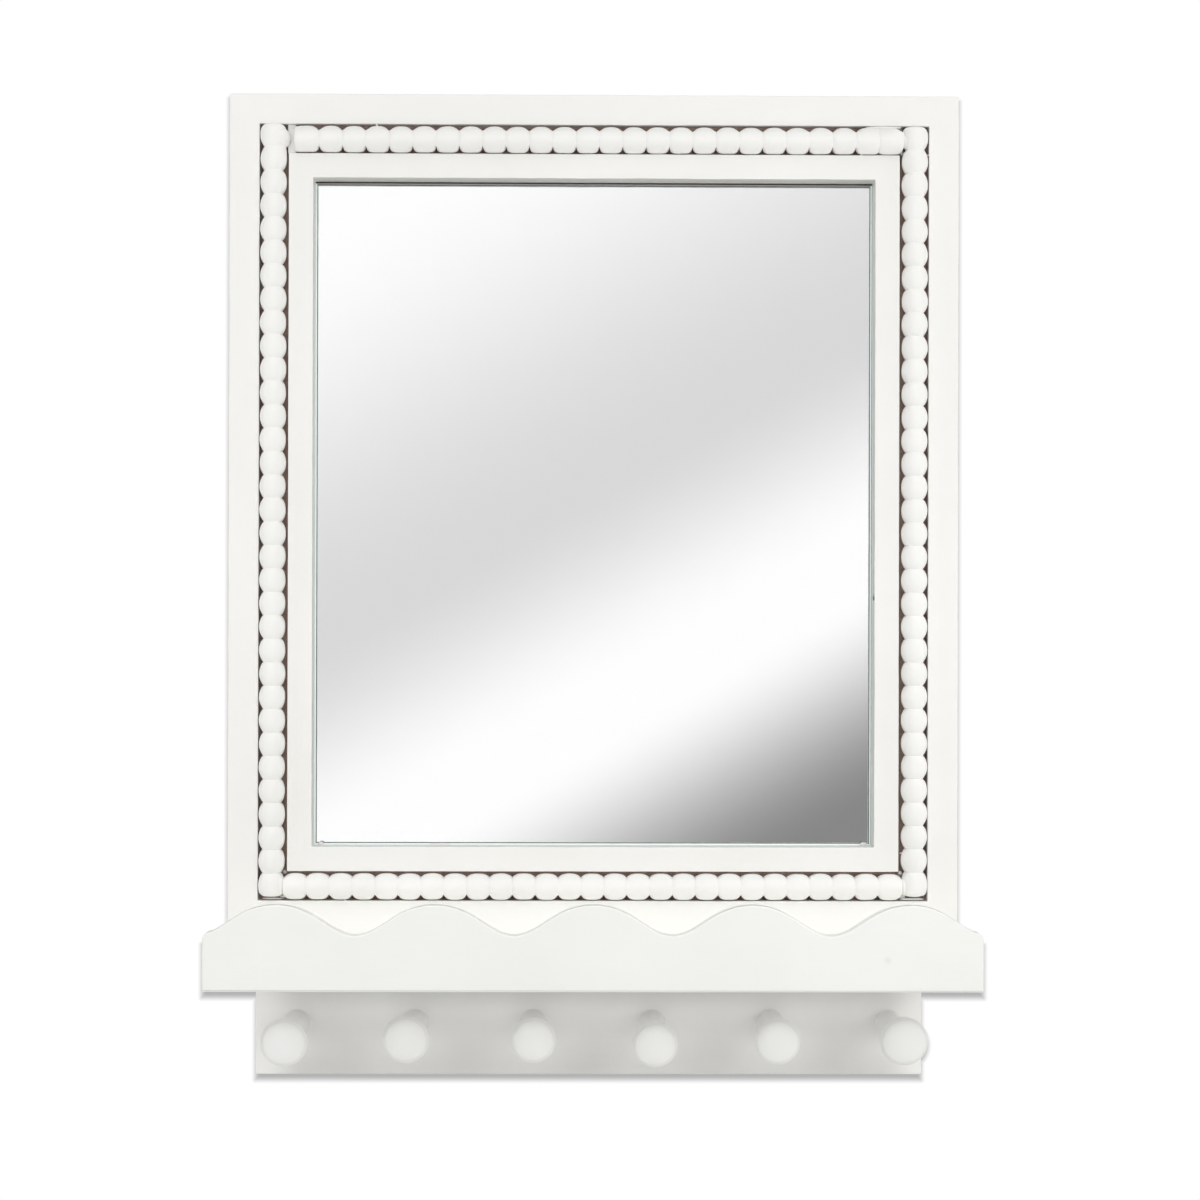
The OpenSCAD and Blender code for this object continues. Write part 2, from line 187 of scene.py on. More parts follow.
def rounded_box(bm, lo, hi, r, seg=3):
    """A box between two corners, in mm, with rounded edges."""
    made = bmesh.ops.create_cube(bm, size=1.0)
    size = [h - l for l, h in zip(lo, hi)]
    mid = [(h + l) / 2 for l, h in zip(lo, hi)]
    for v in made["verts"]:
        v.co = Vector([v.co[i] * size[i] + mid[i] for i in range(3)]) * MM
    edges = list({e for v in made["verts"] for e in v.link_edges})
    bmesh.ops.bevel(bm, geom=edges, offset=r * MM, segments=seg, profile=0.5, affect="EDGES", clamp_overlap=True)
    return bm


def lathe(bm, profile, n, place, warp=None):
    """A closed turned solid from (radius, height) pairs, in mm. place maps a point in mm to the row frame in mm."""
    rows = []
    for r, h in profile:
        if r < 1e-6:
            rows.append([bm.verts.new(place(Vector((0, 0, h))) * MM)])
            continue
        row = []
        for j in range(n):
            a = 2 * math.pi * j / n
            p = Vector((r * math.cos(a), r * math.sin(a), h))
            if warp:
                p = warp(p, a)
            row.append(bm.verts.new(place(p) * MM))
        rows.append(row)
    for a, b in zip(rows, rows[1:]):
        if len(a) == 1:
            for j in range(n):
                bm.faces.new((a[0], b[(j + 1) % n], b[j]))
        elif len(b) == 1:
            for j in range(n):
                bm.faces.new((a[j], a[(j + 1) % n], b[0]))
        else:
            for j in range(n):
                bm.faces.new((a[j], a[(j + 1) % n], b[(j + 1) % n], b[j]))
    return bm


# ------------------------------------------------------------------ material helpers
class Tree:
    """Short names for building a node tree."""

    def __init__(self, tree):
        self.t = tree
        self.n, self.l = tree.nodes, tree.links

    def node(self, kind, **props):
        nd = self.n.new(kind)
        for k, v in props.items():
            setattr(nd, k, v)
        return nd

    def put(self, socket, value):
        if isinstance(value, bpy.types.NodeSocket):
            self.l.new(value, socket)
        elif value is not None:
            socket.default_value = value

    def math(self, op, a, b=None, c=None, clamp=False):
        nd = self.node("ShaderNodeMath", operation=op, use_clamp=clamp)
        for i, v in enumerate((a, b, c)):
            if v is not None:
                self.put(nd.inputs[i], v)
        return nd.outputs[0]

    def vmath(self, op, a, b=None):
        nd = self.node("ShaderNodeVectorMath", operation=op)
        self.put(nd.inputs[0], a)
        if b is not None:
            self.put(nd.inputs[1], b)
        return nd.outputs["Value"] if op in ("LENGTH", "DOT_PRODUCT", "DISTANCE") else nd.outputs[0]

    def range(self, v, a, b, c=0.0, d=1.0, kind="LINEAR"):
        nd = self.node("ShaderNodeMapRange", interpolation_type=kind)
        self.put(nd.inputs["Value"], v)
        for k, x in zip(("From Min", "From Max", "To Min", "To Max"), (a, b, c, d)):
            self.put(nd.inputs[k], x)
        return nd.outputs[0]

    def mix(self, fac, a, b, blend="MIX"):
        nd = self.node("ShaderNodeMix", data_type="RGBA", blend_type=blend)
        self.put(nd.inputs["Factor"], fac)
        self.put(nd.inputs["A"], a if isinstance(a, bpy.types.NodeSocket) else (*a, 1.0))
        self.put(nd.inputs["B"], b if isinstance(b, bpy.types.NodeSocket) else (*b, 1.0))
        return nd.outputs["Result"]

    def noise(self, vec, scale, detail=4.0, rough=0.5, dist=0.0):
        nd = self.node("ShaderNodeTexNoise")
        self.put(nd.inputs["Vector"], vec)
        nd.inputs["Scale"].default_value = scale
        nd.inputs["Detail"].default_value = detail
        nd.inputs["Roughness"].default_value = rough
        nd.inputs["Distortion"].default_value = dist
        return nd.outputs["Fac"]

    def stretch(self, vec, s):
        nd = self.node("ShaderNodeMapping")
        self.put(nd.inputs["Vector"], vec)
        nd.inputs["Scale"].default_value = s
        return nd.outputs[0]

    def xyz(self, vec):
        nd = self.node("ShaderNodeSeparateXYZ")
        self.put(nd.inputs[0], vec)
        return nd.outputs

    def bump(self, height, strength, distance, normal=None):
        nd = self.node("ShaderNodeBump")
        nd.inputs["Strength"].default_value = strength
        nd.inputs["Distance"].default_value = distance
        self.put(nd.inputs["Height"], height)
        if normal is not None:
            self.put(nd.inputs["Normal"], normal)
        return nd.outputs[0]


def new_material(name):
    m = bpy.data.materials.new(name)
    m.use_nodes = True
    m.node_tree.nodes.clear()
    t = Tree(m.node_tree)
    out = t.node("ShaderNodeOutputMaterial")
    b = t.node("ShaderNodeBsdfPrincipled")
    t.l.new(b.outputs[0], out.inputs["Surface"])
    return m, t, b, out


def obj_coords(t):
    return t.node("ShaderNodeTexCoord").outputs["Object"]


def paint_layers(t, P, along, base, rough=0.42):
    """Colour, roughness and normal of brushed satin paint. along is the direction of the brush: x, z or r for none."""
    long_ = {"x": (0.12, 1.0, 1.0), "z": (1.0, 1.0, 0.12), "r": (1.0, 1.0, 1.0)}[along]
    strokes = t.noise(t.stretch(P, long_), 420.0, 3.0, 0.55)
    broad = t.noise(P, 14.0, 3.0, 0.5)
    grain = t.noise(P, 1500.0, 2.0, 0.6)
    peel = t.noise(P, 190.0, 2.0, 0.5)
    tone = t.range(broad, 0.3, 0.7, 0.0, 1.0)
    dark = tuple(c * f for c, f in zip(base, (0.965, 0.966, 0.955)))
    col = t.mix(tone, dark, base)
    col = t.mix(t.range(strokes, 0.35, 0.75, 0.0, 0.22), col, tuple(c * 0.965 for c in base))
    # a few nibs of dirt under the paint
    vor = t.node("ShaderNodeTexVoronoi", feature="F1")
    t.put(vor.inputs["Vector"], P)
    vor.inputs["Scale"].default_value = 75.0
    nib = t.range(vor.outputs["Distance"], 0.02, 0.05, 1.0, 0.0)
    some = t.range(t.node_sep(vor.outputs["Color"]), 0.9, 0.95, 0.0, 1.0)
    nibs = t.math("MULTIPLY", nib, some)
    col = t.mix(t.math("MULTIPLY", nibs, 0.25), col, tuple(c * 0.8 for c in base))
    rgh = t.range(t.math("ADD", t.math("MULTIPLY", strokes, 0.5), t.math("MULTIPLY", peel, 0.5)), 0.3, 0.7, rough - 0.05, rough + 0.07)
    h = t.math("ADD", t.math("MULTIPLY", strokes, 0.55), t.math("MULTIPLY", peel, 0.8))
    h = t.math("ADD", h, t.math("MULTIPLY", grain, 0.10))
    h = t.math("ADD", h, t.math("MULTIPLY", nibs, 0.6))
    nrm = t.bump(h, 0.10, 0.0012)
    return col, rgh, nrm


def _node_sep(self, colour):
    nd = self.node("ShaderNodeSeparateColor")
    self.put(nd.inputs[0], colour)
    return nd.outputs[0]


Tree.node_sep = _node_sep

WHITE = (0.915, 0.908, 0.885)
BROWN = (0.105, 0.068, 0.052)


def make_paint(name, along, base=WHITE, rough=0.42, sawn_and_shade=None, sheen=0.5, upper_shade=None):
    """sawn_and_shade is the tone of the crest edges that face up: paint sunk into the cut, and painted shade, as these
    edges get little light from above. upper_shade is painted shade on the upper sides of the cross runs of beads,
    strongest on the top run.
    """
    m, t, b, out = new_material(name)
    P = obj_coords(t)
    col, rgh, nrm = paint_layers(t, P, along, base, rough)
    # painted shade: the upper sides of the cross runs of beads are darkened, most on the top run
    if upper_shade:
        x, y, z = t.xyz(P)
        up = t.range(t.xyz(t.node("ShaderNodeNewGeometry").outputs["Normal"])[2], 0.05, 0.80)
        up = t.math("MULTIPLY", up, t.range(z, -0.30, 0.0, 0.45, 1.0))
        up = t.math("MULTIPLY", up, t.range(t.math("ABSOLUTE", x), 0.160, 0.166, 1.0, 0.0))
        col = t.mix(up, col, upper_shade)
    # the up-facing crest edges are darkened: paint sunk into the cut, and painted shade
    if sawn_and_shade:
        up = t.range(t.xyz(t.node("ShaderNodeNewGeometry").outputs["Normal"])[2], 0.72, 0.98)
        up = t.math("MULTIPLY", up, t.range(t.noise(P, 260.0, 4.0, 0.6), 0.35, 0.6, 0.7, 1.0))
        up = t.math("MULTIPLY", up, t.range(t.xyz(P)[1], -0.1168, -0.1150, 1.0, 0.0))
        up = t.math("MULTIPLY", up, t.range(t.xyz(P)[2], -0.4055, -0.3925, 0.1, 1.0))
        col = t.mix(up, col, sawn_and_shade)
        at = t.vmath("MULTIPLY", t.vmath("SUBTRACT", P, (0.1492, -0.121, -0.4186)), (1.0, 0.4, 1.1))
        spot = t.range(t.math("ADD", t.vmath("LENGTH", at), t.math("MULTIPLY", t.noise(P, 500.0, 3.0, 0.5), 0.0012)), 0.0010, 0.0034, 0.13, 0.0, "SMOOTHSTEP")
        col = t.mix(spot, col, (0.35, 0.37, 0.33))
    t.put(b.inputs["Base Color"], col)
    t.put(b.inputs["Roughness"], rgh)
    t.put(b.inputs["Normal"], nrm)
    b.inputs["IOR"].default_value = 1.48
    b.inputs["Specular IOR Level"].default_value = sheen
    return m


def raw_board(t, P):
    """Colour, roughness and height of bare fibre board."""
    fine = t.noise(P, 900.0, 5.0, 0.65)
    flakes = t.noise(t.stretch(P, (1.0, 1.0, 1.6)), 160.0, 4.0, 0.6)
    blotch = t.noise(P, 18.0, 3.0, 0.5)
    col = t.mix(t.range(fine, 0.3, 0.7), tuple(c * 0.72 for c in BROWN), tuple(c * 1.45 for c in BROWN))
    col = t.mix(t.range(flakes, 0.5, 0.72, 0.0, 0.5), col, (0.20, 0.14, 0.105))
    col = t.mix(t.range(blotch, 0.35, 0.65, 0.0, 0.35), col, tuple(c * 0.7 for c in BROWN))
    return col, t.math("ADD", fine, t.math("MULTIPLY", flakes, 0.6))


def painted_board(name, along, masks, rough=0.42, base=WHITE, pale=None, thin_coat_and_shade=None):
    """Paint over fibre board. masks(t, P, N) gives how bare each point is, from 0 to 1. pale gives where the bare board
    is made paler, as painted light.
    """
    m, t, b, out = new_material(name)
    P = obj_coords(t)
    N = t.node("ShaderNodeNewGeometry").outputs["Normal"]
    col, rgh, nrm = paint_layers(t, P, along, base, rough)
    # a grey mixed into the paint: a scant coat on the shelf's underside, and painted shade on the rail
    if thin_coat_and_shade:
        col = t.mix(t.math("MULTIPLY", thin_coat_and_shade(t, P, N), t.range(t.noise(P, 40.0, 4.0, 0.6), 0.3, 0.7, 0.85, 1.0)), col, (0.64, 0.636, 0.622))
    raw, h = raw_board(t, P)
    # painted light: the bare board is made paler on the deep channel floor
    if pale:
        raw = t.mix(t.math("MULTIPLY", pale(t, P, N), t.range(h, 0.4, 1.1, 0.8, 1.0)), raw, (0.66, 0.475, 0.405))
    bare = masks(t, P, N)
    t.put(b.inputs["Base Color"], t.mix(bare, col, raw))
    t.put(b.inputs["Roughness"], t.math("ADD", t.math("MULTIPLY", bare, 0.38), rgh, clamp=True))
    t.put(b.inputs["Normal"], t.bump(t.math("MULTIPLY", h, bare), 0.35, 0.0006, nrm))
    b.inputs["IOR"].default_value = 1.48
    return m


def back_mask(x0, x1, z0, z1, margin=4.0):
    """Bare on the back plane, with paint that has run a little way over the edges."""

    def f(t, P, N):
        x, y, z = t.xyz(P)
        ny = t.xyz(N)[1]
        on_back = t.math("MULTIPLY", t.range(ny, 0.5, 0.7), t.range(y, -0.0045, -0.0035))
        dx = t.math("MINIMUM", t.math("SUBTRACT", x, x0 * MM), t.math("SUBTRACT", x1 * MM, x))
        dz = t.math("MINIMUM", t.math("SUBTRACT", z, z0 * MM), t.math("SUBTRACT", z1 * MM, z))
        d = t.math("MINIMUM", dx, dz)
        rag = t.math("MULTIPLY", t.math("SUBTRACT", t.noise(P, 55.0, 5.0, 0.6), 0.5), 0.011)
        edge = t.range(t.math("ADD", d, rag), margin * MM * 0.8, margin * MM * 1.3)
        return t.math("MULTIPLY", on_back, edge)

    return f


def core_mask(t, P, N):
    """The core is bare in the bead channel, in the rebate and the pockets, and on most of the back."""
    x, y, z = t.xyz(P)
    nx, ny, nz = t.xyz(N)
    ax = t.math("ABSOLUTE", x)
    # outer edges and the wall of the opening are painted
    outer = t.math("MAXIMUM", t.math("MULTIPLY", t.math("GREATER_THAN", t.math("ABSOLUTE", nx), 0.5), t.math("GREATER_THAN", ax, 0.1985)),
                   t.math("MULTIPLY", t.math("GREATER_THAN", nz, 0.5), t.math("GREATER_THAN", z, 0.0395)))
    hole = t.math("MULTIPLY", t.math("LESS_THAN", t.math("ABSOLUTE", ny), 0.5),
                  t.math("MULTIPLY", t.math("LESS_THAN", y, -0.0045),
                         t.math("MAXIMUM",
                                t.math("MULTIPLY", t.math("LESS_THAN", t.math("ABSOLUTE", t.math("SUBTRACT", ax, OPEN_X * MM)), 0.0006),
                                       t.math("GREATER_THAN", t.math("ABSOLUTE", nx), 0.5)),
                                t.math("MULTIPLY", t.math("GREATER_THAN", t.math("ABSOLUTE", nz), 0.5),
                                       t.math("MAXIMUM",
                                              t.math("LESS_THAN", t.math("ABSOLUTE", t.math("SUBTRACT", z, (TOP - D_OPEN) * MM)), 0.0006),
                                              t.math("LESS_THAN", t.math("ABSOLUTE", t.math("SUBTRACT", z, (TOP - D_OPEN2) * MM)), 0.0006))))))
    painted = t.math("MAXIMUM", outer, hole)
    # run-over on the back
    dx = t.math("SUBTRACT", HALF_W * MM, ax)
    dz = t.math("SUBTRACT", TOP * MM, z)
    d = t.math("MINIMUM", dx, dz)
    rag = t.math("MULTIPLY", t.math("SUBTRACT", t.noise(P, 55.0, 5.0, 0.6), 0.5), 0.012)
    near = t.range(t.math("ADD", d, rag), 0.0035, 0.0055, 1.0, 0.0)
    back = t.math("MULTIPLY", t.math("MULTIPLY", t.math("GREATER_THAN", ny, 0.5), t.math("GREATER_THAN", y, -0.001)), near)
    painted = t.math("MAXIMUM", painted, back)
    # spatter of paint on the channel floor
    spat = t.range(t.noise(P, 620.0, 3.0, 0.6), 0.58, 0.66)
    floor = t.math("MULTIPLY", t.math("MULTIPLY", t.math("LESS_THAN", ny, -0.5), t.math("LESS_THAN", y, -0.0125)), t.math("MULTIPLY", spat, 0.45))
    painted = t.math("MAXIMUM", painted, floor)
    return t.math("SUBTRACT", 1.0, painted, clamp=True)


def underside(t, P, N):
    """One on the underside of the shelf, which has a single scant coat."""
    return t.math("LESS_THAN", t.xyz(N)[2], -0.5)


def channel_floor_painted_light(t, P, N):
    """One on the floor of the bead channel, where the bare board is made paler: painted light for the deep, narrow
    channel.
    """
    x, y, z = t.xyz(P)
    return t.math("MULTIPLY", t.math("LESS_THAN", t.xyz(N)[1], -0.5), t.math("LESS_THAN", y, -0.0125))


def make_hardboard():
    m, t, b, out = new_material("hardboard_brown")
    P = obj_coords(t)
    fine = t.noise(P, 1300.0, 5.0, 0.7)
    fibre = t.noise(t.stretch(P, (1.0, 1.0, 2.2)), 260.0, 5.0, 0.7)
    blotch = t.noise(P, 9.0, 4.0, 0.6)
    col = t.mix(t.range(fine, 0.3, 0.7), (0.19, 0.105, 0.058), (0.31, 0.185, 0.105))
    col = t.mix(t.range(fibre, 0.55, 0.75, 0.0, 0.6), col, (0.42, 0.28, 0.17))
    col = t.mix(t.range(blotch, 0.3, 0.7, 0.0, 0.4), col, (0.15, 0.08, 0.045))
    t.put(b.inputs["Base Color"], col)
    t.put(b.inputs["Roughness"], t.range(fibre, 0.3, 0.7, 0.55, 0.78))
    mesh_ = t.node("ShaderNodeTexVoronoi", feature="F1")
    t.put(mesh_.inputs["Vector"], P)
    mesh_.inputs["Scale"].default_value = 620.0
    t.put(b.inputs["Normal"], t.bump(t.math("ADD", fine, t.math("MULTIPLY", mesh_.outputs["Distance"], 0.8)), 0.4, 0.0004))
    return m


def make_zinc(name, tint):
    m, t, b, out = new_material(name)
    P = obj_coords(t)
    brushed = t.noise(t.stretch(P, (1.0, 1.0, 0.05)), 2600.0, 3.0, 0.6)
    spots = t.noise(P, 420.0, 4.0, 0.6)
    iris = t.noise(P, 70.0, 2.0, 0.5)
    col = t.mix(t.range(iris, 0.35, 0.65), tint, tuple(c * f for c, f in zip(tint, (0.9, 0.97, 1.06))))
    col = t.mix(t.range(spots, 0.55, 0.75, 0.0, 0.5), col, tuple(c * 0.62 for c in tint))
    t.put(b.inputs["Base Color"], col)
    b.inputs["Metallic"].default_value = 1.0
    t.put(b.inputs["Roughness"], t.range(t.math("ADD", brushed, spots), 0.6, 1.4, 0.26, 0.5))
    t.put(b.inputs["Normal"], t.bump(brushed, 0.12, 0.0003))
    return m


def make_wood(name, base, axis):
    m, t, b, out = new_material(name)
    P = obj_coords(t)
    s = {"x": (0.06, 1.0, 1.0), "z": (1.0, 1.0, 0.06)}[axis]
    grain = t.noise(t.stretch(P, s), 900.0, 5.0, 0.6, 0.6)
    rays = t.noise(t.stretch(P, s), 3200.0, 2.0, 0.5)
    col = t.mix(t.range(grain, 0.3, 0.7), tuple(c * 0.78 for c in base), base)
    col = t.mix(t.range(rays, 0.6, 0.75, 0.0, 0.5), col, tuple(c * 0.6 for c in base))
    t.put(b.inputs["Base Color"], col)
    t.put(b.inputs["Roughness"], t.range(grain, 0.3, 0.7, 0.5, 0.68))
    t.put(b.inputs["Normal"], t.bump(grain, 0.2, 0.0003))
    return m


def make_foam():
    m, t, b, out = new_material("foam_white")
    P = obj_coords(t)
    vor = t.node("ShaderNodeTexVoronoi", feature="F1")
    t.put(vor.inputs["Vector"], P)
    vor.inputs["Scale"].default_value = 1500.0
    n = t.noise(P, 300.0, 4.0, 0.6)
    t.put(b.inputs["Base Color"], t.mix(t.range(n, 0.3, 0.7), (0.74, 0.74, 0.71), (0.84, 0.84, 0.81)))
    t.put(b.inputs["Roughness"], t.range(n, 0.3, 0.7, 0.72, 0.86))
    t.put(b.inputs["Normal"], t.bump(vor.outputs["Distance"], 0.5, 0.0004))
    return m


def make_glass():
    m, t, b, out = new_material("float_glass")
    b.inputs["Base Color"].default_value = (1.0, 1.0, 1.0, 1.0)
    b.inputs["Transmission Weight"].default_value = 1.0
    b.inputs["IOR"].default_value = 1.52
    # polished, with the faintest wipe marks
    wipe = t.noise(t.stretch(obj_coords(t), (1.0, 1.0, 0.3)), 26.0, 4.0, 0.6, 0.8)
    t.put(b.inputs["Roughness"], t.range(wipe, 0.45, 0.75, 0.0, 0.006))
    vol = t.node("ShaderNodeVolumeAbsorption")
    vol.inputs["Color"].default_value = (0.35, 0.86, 0.68, 1.0)
    vol.inputs["Density"].default_value = 14.0
    t.l.new(vol.outputs[0], out.inputs["Volume"])
    return m


def make_ground():
    """The ground arris and edge of the glass: pale, matt and a little blue-green."""
    m, t, b, out = new_material("glass_edge")
    P = obj_coords(t)
    grind = t.noise(P, 1800.0, 3.0, 0.6)
    chips = t.range(t.noise(P, 420.0, 4.0, 0.6), 0.62, 0.70)
    col = t.mix(t.range(grind, 0.3, 0.7), (0.80, 0.89, 0.88), (0.88, 0.94, 0.93))
    # painted shade: the upper edge is darker, as the wall of the opening above keeps light off it
    nz = t.xyz(t.node("ShaderNodeNewGeometry").outputs["Normal"])[2]
    col = t.mix(t.range(nz, 0.2, 0.5), col, (0.42, 0.45, 0.45))
    t.put(b.inputs["Base Color"], t.mix(t.math("MULTIPLY", chips, 0.4), col, (0.46, 0.58, 0.57)))
    t.put(b.inputs["Roughness"], t.range(grind, 0.3, 0.7, 0.28, 0.42))
    t.put(b.inputs["Normal"], t.bump(grind, 0.2, 0.0002))
    b.inputs["IOR"].default_value = 1.52
    # painted light: the edges glow, all but the upper one
    b.inputs["Emission Color"].default_value = (0.80, 0.95, 0.93, 1.0)
    t.put(b.inputs["Emission Strength"], t.range(nz, 0.2, 0.5, 0.24, 0.0))
    return m


def make_silver():
    m, t, b, out = new_material("silvering")
    P = obj_coords(t)
    n = t.noise(P, 40.0, 3.0, 0.5)
    b.inputs["Metallic"].default_value = 1.0
    t.put(b.inputs["Base Color"], t.mix(t.range(n, 0.3, 0.7), (0.936, 0.898, 0.911), (0.940, 0.902, 0.915)))
    b.inputs["Roughness"].default_value = 0.0
    return m


def make_backing():
    m, t, b, out = new_material("backing_paint")
    P = obj_coords(t)
    n = t.noise(P, 600.0, 4.0, 0.6)
    t.put(b.inputs["Base Color"], t.mix(t.range(n, 0.3, 0.7), (0.16, 0.17, 0.18), (0.22, 0.23, 0.24)))
    t.put(b.inputs["Roughness"], t.range(n, 0.3, 0.7, 0.45, 0.6))
    return m


PAINT_X = make_paint("paint_brushed_across", "x")
PAINT_Z = make_paint("paint_brushed_down", "z")
INNER_X = make_paint("paint_inner_across", "x", base=(0.925, 0.918, 0.893), sheen=0.2)
INNER_Z = make_paint("paint_inner_down", "z", base=(0.925, 0.918, 0.893), sheen=0.2)
# the beads carry painted shade on the upper sides of their cross runs
PAINT_BEAD = make_paint("paint_beads", "r", base=(0.93, 0.924, 0.902), rough=0.36, upper_shade=(0.835, 0.828, 0.805))
PAINT_PEG = make_paint("paint_pegs", "r", base=(0.89, 0.888, 0.87), rough=0.38)
# the core's channel floor carries painted light
CORE = painted_board("core_board", "z", core_mask, pale=channel_floor_painted_light)
SHELF = painted_board("shelf_paint", "x", back_mask(-HALF_W + SHIFT, HALF_W + SHIFT, BOARD_Z, SHELF_Z, 2.6), thin_coat_and_shade=underside)
def rail_painted_shade(t, P, N):
    """Painted shade, least in the middle of its height and none at its two ends: the rail is greyer toward its top,
    under the shelf, and toward its bottom, where the pegs' shadows fall.
    """
    x, y, z = t.xyz(P)
    high = t.math("ADD", z, 0.466)
    off = t.math("MAXIMUM", high, t.math("MULTIPLY", high, -0.72))
    m = t.range(off, 0.004, 0.0195, 0.32, 0.84, "SMOOTHSTEP")
    return t.math("MULTIPLY", m, t.range(t.math("ABSOLUTE", x), 0.157, 0.180, 1.0, 0.0, "SMOOTHSTEP"))


# the rail's grey toward its top and bottom is painted shade
RAIL = painted_board("rail_paint", "x", back_mask(-183.6, 179.6, BOARD_Z - 59, BOARD_Z, 4.5), base=(0.93, 0.923, 0.90), thin_coat_and_shade=rail_painted_shade)
# the front board carries painted shade, with sunk paint, on its up-facing crest edges
FRONT = make_paint("front_paint", "x", base=(0.870, 0.871, 0.842), rough=0.44, sawn_and_shade=(0.46, 0.46, 0.445))
HARDBOARD = make_hardboard()
ZINC = make_zinc("zinc_yellow", (0.74, 0.70, 0.55))
ZINC_GREY = make_zinc("zinc_grey", (0.66, 0.67, 0.68))
BEECH_Z = make_wood("beech_upright", (0.66, 0.47, 0.29), "z")
BEECH_X = make_wood("beech_level", (0.66, 0.47, 0.29), "x")
FOAM = make_foam()
GLASS = make_glass()
GROUND = make_ground()
SILVER = make_silver()
BACKING = make_backing()

# ------------------------------------------------------------------ CAD nodes that stay, with their finish
NODE_FINISH = {
    "core_stile_left": CORE, "core_stile_right": CORE, "core_rail_top": CORE, "core_rail_bottom": CORE,
    "corner_dowels": BEECH_X, "back_panel": HARDBOARD, "back_panel_screws": ZINC,
    "mirror_tape": FOAM, "front_brads": ZINC_GREY, "lip_brads": ZINC_GREY, "frame_dowels": BEECH_Z,
    "rail_screws": ZINC, "hanger_left": ZINC, "hanger_right": ZINC, "hanger_screws": ZINC,
}
for name, mat in NODE_FINISH.items():
    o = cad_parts[name]
    if not o.material_slots:
        o.data.materials.append(mat)
    for s in o.material_slots:
        s.material = mat

# ------------------------------------------------------------------ face strips
X_CUT = (HALF_W - OUTER_W) * MM
outer = ring(-HALF_W, HALF_W, SHELF_Z, TOP, OUTER_W, 1.0, 0.7, 0.4, 1, FRAME_H - D_CH2 - OUTER_W)
mid = (0, 0, -0.19)
piece("face_strip_outer_left", cut(outer, [((-X_CUT, 0, 0), (-1, 0, 0))]), [PAINT_Z], ["outer_strip_left"], "white_board")
piece("face_strip_outer_right", cut(outer, [((X_CUT, 0, 0), (1, 0, 0))]), [PAINT_Z], ["outer_strip_right"], "white_board")
between = [((-X_CUT, 0, 0), (1, 0, 0)), ((X_CUT, 0, 0), (-1, 0, 0))]
piece("face_strip_outer_top", cut(outer, between + [(mid, (0, 0, 1))]), [PAINT_X], ["outer_strip_top"], "white_board")
piece("face_strip_outer_bottom", cut(outer, between + [(mid, (0, 0, -1))]), [PAINT_X], ["outer_strip_bottom"], "white_board")
outer.free()

inner = ring(-OPEN_X - INNER_W, OPEN_X + INNER_W, TOP - D_IN2, TOP - D_IN, INNER_W, 0.5, 0.4, 0.25, 2)
X_CUT = OPEN_X * MM
piece("face_strip_inner_left", cut(inner, [((-X_CUT, 0, 0), (-1, 0, 0))]), [INNER_Z], ["inner_strip_left"], "white_board")
piece("face_strip_inner_right", cut(inner, [((X_CUT, 0, 0), (1, 0, 0))]), [INNER_Z], ["inner_strip_right"], "white_board")
between = [((-X_CUT, 0, 0), (1, 0, 0)), ((X_CUT, 0, 0), (-1, 0, 0))]
piece("face_strip_inner_top", cut(inner, between + [(mid, (0, 0, 1))]), [INNER_X], ["inner_strip_top"], "white_board")
piece("face_strip_inner_bottom", cut(inner, between + [(mid, (0, 0, -1))]), [INNER_X], ["inner_strip_bottom"], "white_board")
inner.free()

# ------------------------------------------------------------------ beads
BEAD_R, BEAD_ARC = 7.2, 8.6
BEAD_Y = -20.3


def smooth(a, b, x):
    x = max(0.0, min(1.0, (x - a) / (b - a)))
    return x * x * (3 - 2 * x)


def crest_to_joint(u, tip, p, q):
    """Radius of a bead at u, from 0 at its crest to 1 at the joint. tip is the radius at the joint."""
    return tip + (BEAD_R - tip) * max(0.0, 1 - min(1.0, abs(u)) ** p) ** (1 / q)


